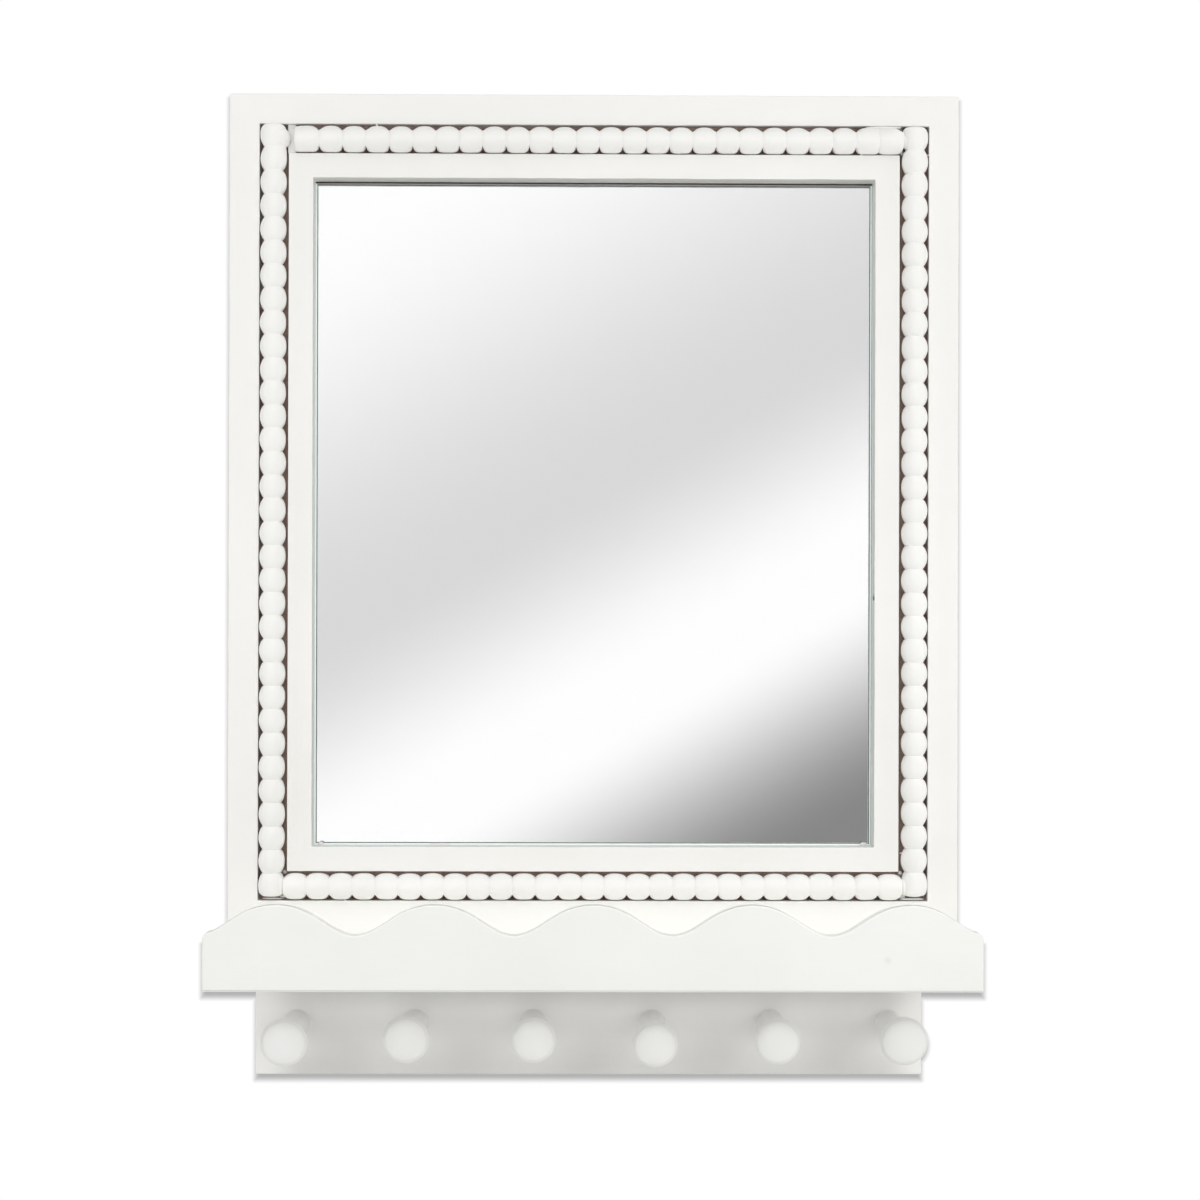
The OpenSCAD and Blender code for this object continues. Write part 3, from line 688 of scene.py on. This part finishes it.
def bead_strip(name, node, n, pitch, a, b, place, seed, plus, minus, face, lean=0.0, closed=None, square=(True, True), ends=None):
    """One run of beads. plus and minus are (tip, p, q) for the two sides that show their notches.

    Paint fills the joints at the front out to the radius face. lean makes the start of each bead fuller than its end.
    closed gives the joints whose notch is bridged with paint, as {(joint, side): radius}. square says which
    ends are cut off and eased; the others run into the next run. ends is (tip, p, q) for the outer halves
    of the first and the last bead.
    """
    rnd = random.Random(seed)
    closed = closed or {}
    size = [1 + rnd.uniform(-0.005, 0.005) for _ in range(n + 1)]
    move = [Vector((rnd.uniform(-0.10, 0.10), rnd.uniform(-0.06, 0.06), 0)) for _ in range(n + 1)]
    jitter = [[rnd.uniform(-0.16, 0.16) for _ in range(n + 2)] for _ in range(2)]
    front = [face + rnd.uniform(-0.2, 0.2) for _ in range(n + 2)]
    bm = bmesh.new()
    half = [0.0, 0.004, 0.012, 0.025, 0.045, 0.075, 0.115, 0.165, 0.23, 0.31, 0.40, 0.50]
    parts = half + [1 - h for h in reversed(half[:-1])]
    zs = sorted({round(a, 4), round(b, 4), *(round(pitch * (k + h), 4) for k in range(n) for h in parts if a + 0.02 < pitch * (k + h) < b - 0.02)})
    prof = [(0.0, zs[0])] + [(1.0, z) for z in zs] + [(0.0, zs[-1])]

    def warp(p, ang):
        z = p.z
        k = min(n - 1, max(0, int(z / pitch + 1e-6)))
        g = min(n, max(0, round(z / pitch)))
        u = (z / pitch - k) * 2 - 1
        if k == n - 1 and b > n * pitch:
            u = (z - k * pitch) / (b - k * pitch) * 2 - 1
        f = smooth(0.30, 0.85, -math.sin(ang))
        w = smooth(-0.35, 0.35, math.cos(ang))
        start = 1 + (lean if u < 0 else -lean)
        sides = []
        for side, (tip, pw, q) in ((1, plus), (-1, minus)):
            if ends and ((k == 0 and u < 0) or (k == n - 1 and u > 0)):
                sides.append(crest_to_joint(u, *ends))
                continue
            tip = closed.get((g, side), tip + jitter[side > 0][g])
            sides.append(crest_to_joint(u, tip, pw, q * start))
        over = crest_to_joint(u, *ends) if ends and ((k == 0 and u < 0) or (k == n - 1 and u > 0)) else crest_to_joint(u, front[g], 2.3, 1.3 * start)
        r = (sides[0] * w + sides[1] * (1 - w)) * (1 - f) + over * f
        r = (r - 0.03) * size[k]
        near_end = min(z - a if square[0] else 9.0, b - z if square[1] else 9.0)
        if near_end < 0.5:
            r -= 0.5 - math.sqrt(max(0.0, 0.25 - (0.5 - near_end) ** 2))
        m = move[k].lerp(move[min(n, k + 1)], u / 2) if u > 0 else move[k].lerp(move[max(0, k - 1)], -u / 2)
        p = Vector((r * math.cos(ang), r * math.sin(ang), z))
        o = wobble(p, 0.05, 3.5, seed)
        return p + m + Vector((o.x, o.y, 0))

    lathe(bm, prof, 48, place, warp)
    return piece(name, bm, [PAINT_BEAD], [node], "white_bead", angle=0.9)


def blob(bm, co, size, seed, n=2):
    """A small lump of dried paint at co, in mm."""
    made = bmesh.ops.create_icosphere(bm, subdivisions=n, radius=1.0)
    for v in made["verts"]:
        d = v.co.copy()
        k = 1 + (0.35 if max(size) < 2.5 else 0.07) * noise.noise(d * 1.7 + Vector((seed * 3.1, seed, 0)))
        v.co = Vector((co[0] + d.x * size[0] * k, co[1] + d.y * size[1] * k, co[2] + d.z * size[2] * k)) * MM


def left_place(p):
    return Vector((-174.85 + p.x, BEAD_Y + p.y, TOP - 16.7 - p.z))


def right_place(p):
    return Vector((174.7 + 0.0008 * p.z + p.x, BEAD_Y + p.y, TOP - 17.0 - p.z))


def top_place(p):
    return Vector((-162.6 + p.z, BEAD_Y + p.y, 15.3 + p.x))


def bottom_place(p):
    return Vector((-168.2 + p.z, BEAD_Y + p.y, -391.4 + p.x))


bead_strip("bead_run_left", "bead_strip_left", 33, 12.73, 0.0, 33 * 12.73, left_place, 11,
           (5.0, 2.25, 1.25), (4.8, 1.95, 1.2), 6.15, lean=0.12, closed={(1, 1): 6.8}, ends=(3.6, 3.1, 1.95))
bead_strip("bead_run_right", "bead_strip_right", 33, 12.69, 0.0, 33 * 12.69 + 0.8, right_place, 12,
           (4.6, 2.15, 1.25), (4.95, 2.1, 1.2), 6.15, lean=0.12, ends=(3.6, 3.1, 1.95))
bead_strip("bead_run_top", "bead_strip_top", 26, 12.70, -0.6, 26 * 12.70 + 0.4, top_place, 13,
           (3.95, 2.75, 1.25), (3.4, 4.8, 1.9), 6.3, closed={(0, 1): 6.7, (0, -1): 6.9, (25, 1): 6.9, (25, -1): 6.0, (26, -1): 4.6}, square=(True, False))
bead_strip("bead_run_bottom", "bead_strip_bottom", 27, 12.43, 0.2, 27 * 12.43 + 0.5, bottom_place, 14,
           (5.1, 2.5, 1.25), (3.3, 3.8, 1.8), 6.35, closed={(0, 1): 4.4, (27, 1): 4.9}, square=(False, False))

# dried paint: bridges, runs and flecks in and beside the channel
bm = bmesh.new()
DRIPS = [
    ((-173.0, -20.4, 15.6), (7.7, 6.7, 6.9)),                                                 # on the first left bead
    ((-169.6, -22.5, -390.9), (2.6, 3.2, 5.0)), ((169.7, -22.4, -391.0), (2.6, 3.1, 5.0)), ((169.3, -22.2, 15.6), (2.4, 2.9, 4.4)),
    ((157.5, -20.0, 22.9), (10.5, 0.8, 0.8)), ((157.0, -18.0, 8.0), (10.5, 1.0, 0.5)),        # along the last two top beads
    ((168.0, -17.0, 9.4), (1.3, 1.2, 1.3)), ((166.3, -15.2, 22.2), (2.2, 0.9, 1.3)),
    ((182.1, -19.8, 7.9), (0.7, 0.9, 0.4)), ((-118.8, -20.3, 23.0), (0.6, 0.5, 0.5)), ((-181.3, -16.5, 21.6), (0.9, 0.8, 0.9)),
    ((-168.3, -15.8, -384.1), (1.2, 0.9, 1.2)), ((-168.7, -16.6, -397.0), (2.0, 1.2, 1.3)), ((-174.2, -18.3, -398.25), (6.2, 1.2, 0.5)),
    ((-134.8, -20.4, -399.1), (0.7, 0.5, 0.5)), ((168.1, -19.9, -373.0), (0.9, 0.8, 0.45)), ((167.9, -16.8, -384.2), (1.3, 1.2, 1.3)),
    ((169.0, -16.6, -396.5), (2.0, 1.2, 1.9)), ((174.2, -18.3, -398.2), (7.2, 1.2, 0.6)), ((145.4, -20.6, 7.9), (0.5, 0.3, 0.3)),
    ((-149.2, -8.0, -369.1), (1.5, 0.9, 1.0)), ((-83.9, -6.9, -369.7), (5.5, 0.45, 0.35)), ((148.6, -8.0, -369.1), (1.9, 0.9, 1.0)),
]
for i, (co, size) in enumerate(DRIPS):
    blob(bm, co, size, 50 + i)
# the gap by the cut end of the top run is filled
start = len(bm.verts)
rounded_box(bm, (-167.3, -18.6, 7.75), (-162.7, -13.05, 23.5), 0.7)
bm.verts.ensure_lookup_table()
for v in bm.verts[start:]:
    v.co += wobble(v.co / MM, 0.25, 4.0, 71) * MM
piece("dried_paint", bm, [PAINT_BEAD], None, "white_bead")

# ------------------------------------------------------------------ mirror
def slab(name, rings, mats, faces):
    """A closed slab from rectangles (inset, y), in mm. faces gives the material of the front, of each step and of the back."""
    x0, x1, z0, z1 = PANE
    bm = bmesh.new()
    rows = [[bm.verts.new(Vector(c) * MM) for c in ((x0 + i, y, z0 + i), (x1 - i, y, z0 + i), (x1 - i, y, z1 - i), (x0 + i, y, z1 - i))] for i, y in rings]
    bm.faces.new(rows[0]).material_index = faces[0]
    for k, (a, b) in enumerate(zip(rows, rows[1:])):
        for j in range(4):
            bm.faces.new((a[j], a[(j + 1) % 4], b[(j + 1) % 4], b[j])).material_index = faces[k + 1]
    bm.faces.new(rows[-1]).material_index = faces[-1]
    return piece(name, bm, mats, ["mirror_pane"], "mirror", smooth=False)


# the pane sits on the bottom of the opening, a little to the left
PANE = (-153.05, 152.85, -369.85, -6.5)
slab("mirror_glass", [(0.85, -6.7), (0.0, -5.9), (0.0, -3.76)], [GLASS, GROUND], [0, 1, 1, 0])
# the silver stops short of the edge, where the backing paint runs over
slab("mirror_silver", [(1.15, -3.75), (0.08, -3.745), (0.08, -3.71)], [SILVER, BACKING], [0, 1, 1, 1])

# ------------------------------------------------------------------ shelf
bm = bmesh.new()
rounded_box(bm, (-HALF_W + SHIFT, FRONT_Y + 10, BOARD_Z), (HALF_W + SHIFT, 0, SHELF_Z), 0.6)
piece("shelf_plank", bm, [SHELF], ["shelf_board"], "white_board")

WAVE, PEAK, VALLEY, CORNER = 80.9, 44.2, 28.5, 4.5


def crest(x):
    s = math.cos(2 * math.pi * x / WAVE)
    return (PEAK + VALLEY) / 2 + (PEAK - VALLEY) / 2 * (s + 0.215 * (1 - s * s))


def scallop_outline():
    end = crest(HALF_W - CORNER)
    pts = [(-HALF_W + 0.8 - 0.8 * math.cos(a), 0.8 - 0.8 * math.sin(a)) for a in (0, math.pi / 6, math.pi / 3, math.pi / 2)]
    pts += [(x, 0.0) for x in range(-190, 191, 10)]
    pts += [(HALF_W - 0.8 + 0.8 * math.sin(a), 0.8 - 0.8 * math.cos(a)) for a in (0, math.pi / 6, math.pi / 3, math.pi / 2)]
    pts += [(HALF_W - CORNER + CORNER * math.cos(math.radians(a)), end - CORNER + CORNER * math.sin(math.radians(a))) for a in range(0, 91, 10)]
    n = 300
    for i in range(1, n):
        x = (HALF_W - CORNER) * (1 - 2 * i / n)
        pts.append((x, crest(x) + 0.12 * noise.noise(Vector((x / 6.0, 0, 5.0)))))
    pts += [(-HALF_W + CORNER + CORNER * math.cos(math.radians(a)), end - CORNER + CORNER * math.sin(math.radians(a))) for a in range(90, 181, 10)]
    return pts


def scalloped_board():
    """The outline swept through its thickness, with eased edges back and front."""
    pts = [Vector(p) for p in scallop_outline()]
    n = len(pts)
    inward = []
    for i in range(n):
        t = (pts[(i + 1) % n] - pts[i - 1]).normalized()
        inward.append(Vector((-t.y, t.x)))
    area = sum(pts[i].x * pts[(i + 1) % n].y - pts[(i + 1) % n].x * pts[i].y for i in range(n))
    sign = 1.0 if area > 0 else -1.0
    bm = bmesh.new()
    r = 0.9
    prof = [(r - r * math.sin(a), r - r * math.cos(a)) for a in [math.radians(15 * k) for k in range(7)]]
    prof = [(ins, y) for ins, y in prof] + [(0.0, 5.0)] + [(ins, 10 - y) for ins, y in reversed(prof)]
    rows = []
    for ins, y in prof:
        row = []
        for p, nrm in zip(pts, inward):
            q = p + nrm * sign * ins
            row.append(bm.verts.new(Vector((q.x + SHIFT, FRONT_Y + y, BOARD_Z + q.y)) * MM))
        rows.append(row)
    for a, b in zip(rows, rows[1:]):
        for j in range(n):
            bm.faces.new((a[j], a[(j + 1) % n], b[(j + 1) % n], b[j]))
    bm.faces.new(rows[0])
    bm.faces.new(rows[-1])
    return bm


piece("gallery_front", scalloped_board(), [FRONT], ["scalloped_front"], "white_board")

for s, side in ((-1, "left"), (1, "right")):
    bm = bmesh.new()
    cx = SHIFT + s * (HALF_W - 4.5)
    rounded_box(bm, (cx - 4.5, FRONT_Y + 10, SHELF_Z), (cx + 4.5, FACE_Y, SHELF_Z + 10), 0.8)
    piece("tray_lip_" + side, bm, [PAINT_X], ["end_lip_" + side], "white_board")

# ------------------------------------------------------------------ rail and pegs
bm = bmesh.new()
rounded_box(bm, (-183.6, -18, BOARD_Z - 59), (179.6, 0, BOARD_Z), 0.9)
piece("hook_rail", bm, [RAIL], ["peg_rail"], "white_board")


def peg_profile(R):
    """Radius and distance from the rail's face, for a painted peg."""
    tn, tf, rr = PEG_LEN - 22, PEG_LEN - 8.5, 1.9
    p = [(0.0, -TENON_L), (TENON_R - 0.8, -TENON_L), (TENON_R, -TENON_L + 0.8), (TENON_R, -0.2)]
    p += [(NECK_R + FLARE + 0.35, -0.15), (NECK_R + FLARE + 0.2, 0.05)]
    p += [(NECK_R + FLARE * (1 - u) ** 1.7, 0.15 + tn * u) for u in [i / 24 for i in range(25)]]
    p += [(NECK_R + (R - rr - NECK_R) * (1 - math.cos(a)), tn + (tf - tn) * math.sin(a)) for a in [math.radians(90 * i / 20) for i in range(1, 21)]]
    p += [(R - rr + rr * math.cos(a), tf + rr + rr * math.sin(a)) for a in [math.radians(-90 + 145 * i / 16) for i in range(1, 17)]]
    r0, t0 = R - rr + rr * math.cos(math.radians(55)), tf + rr + rr * math.sin(math.radians(55))
    p += [(r0 * math.cos(math.radians(90 * u)), t0 + (PEG_LEN - t0) * math.sin(math.radians(90 * u))) for u in [i / 16 for i in range(1, 17)]]
    return [(max(0.0, r) if r > 1e-4 else 0.0, h) for r, h in p]


for i, (R, dx, dz) in enumerate(PEGS):
    T = (Matrix.Translation(((0.1 + (i - 2.5) * 64.55), -18.0, PEG_Z))
         @ Matrix.Rotation(math.atan(dx / 68), 4, "Z") @ Matrix.Rotation(math.atan(dz / 68), 4, "X")
         @ Matrix.Rotation(math.radians(90), 4, "X"))

    def place(p, T=T):
        return T @ p

    def warp(p, ang, i=i):
        o = wobble(p, 0.05, 7.0, 30 + i)
        return p + Vector((o.x, o.y, 0)) if p.z > 1 else p

    bm = bmesh.new()
    lathe(bm, peg_profile(R - 0.03), 64, place, warp)
    piece("turned_peg_%d" % (i + 1), bm, [PAINT_PEG], ["peg_%d" % (i + 1)], "white_peg", angle=0.9)

# ------------------------------------------------------------------ camera
CAM = Vector((-0.014153, -1.521, -0.239471))
YAW, PITCH, ROLL, FOCAL = -0.01173, 0.00279, 0.00248, 2754.23
R_ = Vector((math.cos(YAW), math.sin(YAW), 0))
F_ = Vector((-math.sin(YAW), math.cos(YAW), 0))
U_ = Vector((0, 0, 1))
F_, U_ = F_ * math.cos(PITCH) + U_ * math.sin(PITCH), U_ * math.cos(PITCH) - F_ * math.sin(PITCH)
R_, U_ = R_ * math.cos(ROLL) + U_ * math.sin(ROLL), U_ * math.cos(ROLL) - R_ * math.sin(ROLL)
cam_data = bpy.data.cameras.new("camera")
cam_data.sensor_width = 36.0
cam_data.lens = FOCAL / 1200 * 36
cam_data.clip_start, cam_data.clip_end = 0.05, 50.0
cam = bpy.data.objects.new("camera", cam_data)
cam.matrix_world = Matrix(((R_.x, U_.x, -F_.x, CAM.x), (R_.y, U_.y, -F_.y, CAM.y), (R_.z, U_.z, -F_.z, CAM.z), (0, 0, 0, 1)))
scene.collection.objects.link(cam)
scene.camera = cam


def pixel(p):
    """Where a point falls in the 1200 by 1200 frame."""
    d = Vector(p) - CAM
    return 600 + FOCAL * d.dot(R_) / d.dot(F_), 600 - FOCAL * d.dot(U_) / d.dot(F_)


# ------------------------------------------------------------------ stage
def plane(name, corners, mat):
    me = bpy.data.meshes.new(name)
    me.from_pydata([tuple(c) for c in corners], [], [(0, 1, 2, 3)])
    me.materials.append(mat)
    ob = bpy.data.objects.new(name, me)
    scene.collection.objects.link(ob)
    return ob


def emission_material(name):
    m = bpy.data.materials.new(name)
    m.use_nodes = True
    m.node_tree.nodes.clear()
    t = Tree(m.node_tree)
    out = t.node("ShaderNodeOutputMaterial")
    em = t.node("ShaderNodeEmission")
    t.l.new(em.outputs[0], out.inputs["Surface"])
    return m, t, em, out


def to_linear(t, v):
    return t.math("POWER", t.math("DIVIDE", t.math("ADD", v, 0.055), 1.055), 2.4)


def on_wall(x, y, z):
    """A point in mm, seen from the camera, on the wall plane, in metres."""
    p = Vector((x, y, z)) * MM
    d = p - CAM
    q = CAM + d * ((0.001 - CAM.y) / d.y)
    return q.x, q.z


# the wall: white, with a soft contact shadow under and beside the object
m, t, em, out = emission_material("wall_white")
x, _, z = t.xyz(obj_coords(t))
DROP, SOFT, DEPTH = 0.0031, 0.0027, 0.305
dist = None
boxes = [((-HALF_W, FACE_Y, TOP), (HALF_W, FACE_Y, -410.0)),
         ((-HALF_W + SHIFT, FRONT_Y, BOARD_Z + 27.0), (HALF_W + SHIFT, FRONT_Y, BOARD_Z)),
         ((-183.6, -18, BOARD_Z), (179.6, -18, BOARD_Z - 59))]
for a, b in boxes:
    x0, z1 = on_wall(*a)
    x1, z0 = on_wall(*b)
    qx = t.math("SUBTRACT", t.math("ABSOLUTE", t.math("SUBTRACT", x, (x0 + x1) / 2)), (x1 - x0) / 2)
    qz = t.math("SUBTRACT", t.math("ABSOLUTE", t.math("SUBTRACT", z, (z0 + z1) / 2 - DROP)), (z1 - z0) / 2)
    ox, oz = t.math("MAXIMUM", qx, 0.0), t.math("MAXIMUM", qz, 0.0)
    far = t.math("SQRT", t.math("ADD", t.math("MULTIPLY", ox, ox), t.math("MULTIPLY", oz, oz)))
    d = t.math("ADD", far, t.math("MINIMUM", t.math("MAXIMUM", qx, qz), 0.0))
    dist = d if dist is None else t.math("MINIMUM", dist, d)
R6, dx6, dz6 = PEGS[5]
cx6, cz6 = on_wall(0.1 + 2.5 * 64.55 + dx6, -18 - 66, PEG_Z + dz6)
rim6, _ = on_wall(0.1 + 2.5 * 64.55 + dx6 + R6, -18 - 66, PEG_Z + dz6)
ddx, ddz = t.math("SUBTRACT", x, cx6), t.math("SUBTRACT", z, cz6 - DROP * 0.5)
d = t.math("SUBTRACT", t.math("SQRT", t.math("ADD", t.math("MULTIPLY", ddx, ddx), t.math("MULTIPLY", ddz, ddz))), rim6 - cx6)
dist = t.math("MINIMUM", dist, d)
shade = t.range(dist, -SOFT, SOFT, 1 - DEPTH, 1.0, "SMOOTHSTEP")
t.put(em.inputs["Strength"], t.math("MULTIPLY", to_linear(t, shade), 1.01))
clear = t.node("ShaderNodeBsdfTransparent")
both = t.node("ShaderNodeMixShader")
t.l.new(t.node("ShaderNodeNewGeometry").outputs["Backfacing"], both.inputs[0])
t.l.new(em.outputs[0], both.inputs[1])
t.l.new(clear.outputs[0], both.inputs[2])
t.l.new(both.outputs[0], out.inputs["Surface"])
wall = plane("wall", [(-2.0, 0.001, -0.85), (2.0, 0.001, -0.85), (2.0, 0.001, 1.6), (-2.0, 0.001, 1.6)], m)
for flag in ("visible_diffuse", "visible_glossy", "visible_transmission", "visible_volume_scatter", "visible_shadow"):
    setattr(wall, flag, False)

# the floor: plain and pale
m, t, b, out = new_material("floor_pale")
P = obj_coords(t)
n = t.noise(P, 3.0, 4.0, 0.5)
t.put(b.inputs["Base Color"], t.mix(t.range(n, 0.3, 0.7), (0.80, 0.80, 0.79), (0.84, 0.84, 0.83)))
t.put(b.inputs["Roughness"], t.range(n, 0.3, 0.7, 0.6, 0.7))
plane("floor", [(-3.0, -4.0, -0.85), (3.0, -4.0, -0.85), (3.0, 2.5, -0.85), (-3.0, 2.5, -0.85)], m)

# the card that the mirror reflects: a plain gradient from white through grey
CARD_Y = -2.6
m, t, em, out = emission_material("reflected_card")
x, _, z = t.xyz(obj_coords(t))
SILVER_Y = -0.0045


def mirrored(x, z):
    u, v = pixel((x, 2 * SILVER_Y - CARD_Y, z))
    return u * math.cos(math.radians(60)) + v * math.sin(math.radians(60))


s0, sx, sz = mirrored(0, -0.2), mirrored(1, -0.2), mirrored(0, 0.8)
s = t.math("ADD", t.math("ADD", t.math("MULTIPLY", x, sx - s0), t.math("MULTIPLY", t.math("ADD", z, 0.2), sz - s0)), s0)
S_MIN, S_MAX = 300.0, 1200.0
ramp = t.node("ShaderNodeValToRGB")
ramp.color_ramp.interpolation = "EASE"
stops = [(360, 0.999), (718, 0.851), (894, 0.999), (942, 0.999), (1136, 0.533)]
els = ramp.color_ramp.elements
while len(els) < len(stops):
    els.new(0.5)
for e, (pos, val) in zip(els, stops):
    e.position = (pos - S_MIN) / (S_MAX - S_MIN)
    e.color = (val, val, val, 1.0)
t.put(ramp.inputs[0], t.range(s, S_MIN, S_MAX))
t.put(em.inputs["Strength"], t.math("MULTIPLY", to_linear(t, ramp.outputs[0]), 1.12))
card = plane("reflected_card", [(-1.6, CARD_Y, -0.85), (-1.6, CARD_Y, 1.6), (1.6, CARD_Y, 1.6), (1.6, CARD_Y, -0.85)], m)
for flag in ("visible_camera", "visible_diffuse", "visible_volume_scatter", "visible_shadow"):
    setattr(card, flag, False)


# ------------------------------------------------------------------ light
def softbox(name, at, to, size, power, colour=(1, 1, 1)):
    d = bpy.data.lights.new(name, "AREA")
    d.shape = "RECTANGLE"
    d.size, d.size_y = size
    d.energy = power
    d.color = colour
    ob = bpy.data.objects.new(name, d)
    ob.location = at
    ob.rotation_mode = "QUATERNION"
    ob.rotation_quaternion = (Vector(to) - Vector(at)).to_track_quat("-Z", "Y")
    scene.collection.objects.link(ob)
    return ob


for name, az, far, high, size, power in LAMPS:
    a = math.radians(az)
    lamp = softbox(name, (far * math.sin(a), -far * math.cos(a), high), (0, 0, -0.2), (size, size * 1.6), power)
    lamp.visible_camera = False
    if name.endswith("front"):
        lamp.visible_glossy = lamp.visible_transmission = False

for name, at, to, size, power in (("tray_fill", (-0.058, -0.4145), (0.0, -0.4130), 0.008, TRAY), ("rail_fill", (-0.050, -0.4365), (-0.049, -0.6), 0.016, RAIL_FILL),
                                  ("edge_fill", (-0.1160, -0.374), (-0.1159, -0.6), 0.006, EDGE_FILL)):
    lamp = softbox(name, (SHIFT * MM, *at), (SHIFT * MM, *to), (0.368, size), power)
    lamp.visible_camera = lamp.visible_glossy = lamp.visible_transmission = False
    if name == "tray_fill":
        lamp.data.spread = math.radians(100)

world = bpy.data.worlds.new("studio")
scene.world = world
world.use_nodes = True
world.node_tree.nodes.clear()
t = Tree(world.node_tree)
out = t.node("ShaderNodeOutputWorld")
D = t.node("ShaderNodeTexCoord").outputs["Generated"]
total = AMBIENT
for key, az, el, power, strength in DOME:
    az, el = math.radians(az), math.radians(el)
    axis = (math.sin(az) * math.cos(el), -math.cos(az) * math.cos(el), math.sin(el))
    lobe = t.math("POWER", t.math("MAXIMUM", t.vmath("DOT_PRODUCT", D, axis), 0.0), power)
    lobe = t.math("MULTIPLY", lobe, strength)
    lobe.node.name = "w_" + key
    total = t.math("ADD", total, lobe)
seen = t.node("ShaderNodeBackground")
lit = t.node("ShaderNodeBackground")
t.put(lit.inputs["Strength"], total)
pick = t.node("ShaderNodeMixShader")
t.l.new(t.node("ShaderNodeLightPath").outputs["Is Camera Ray"], pick.inputs[0])
t.l.new(lit.outputs[0], pick.inputs[1])
t.l.new(seen.outputs[0], pick.inputs[2])
t.l.new(pick.outputs[0], out.inputs["Surface"])

scene.view_settings.view_transform = "Standard"
scene.view_settings.look = "None"
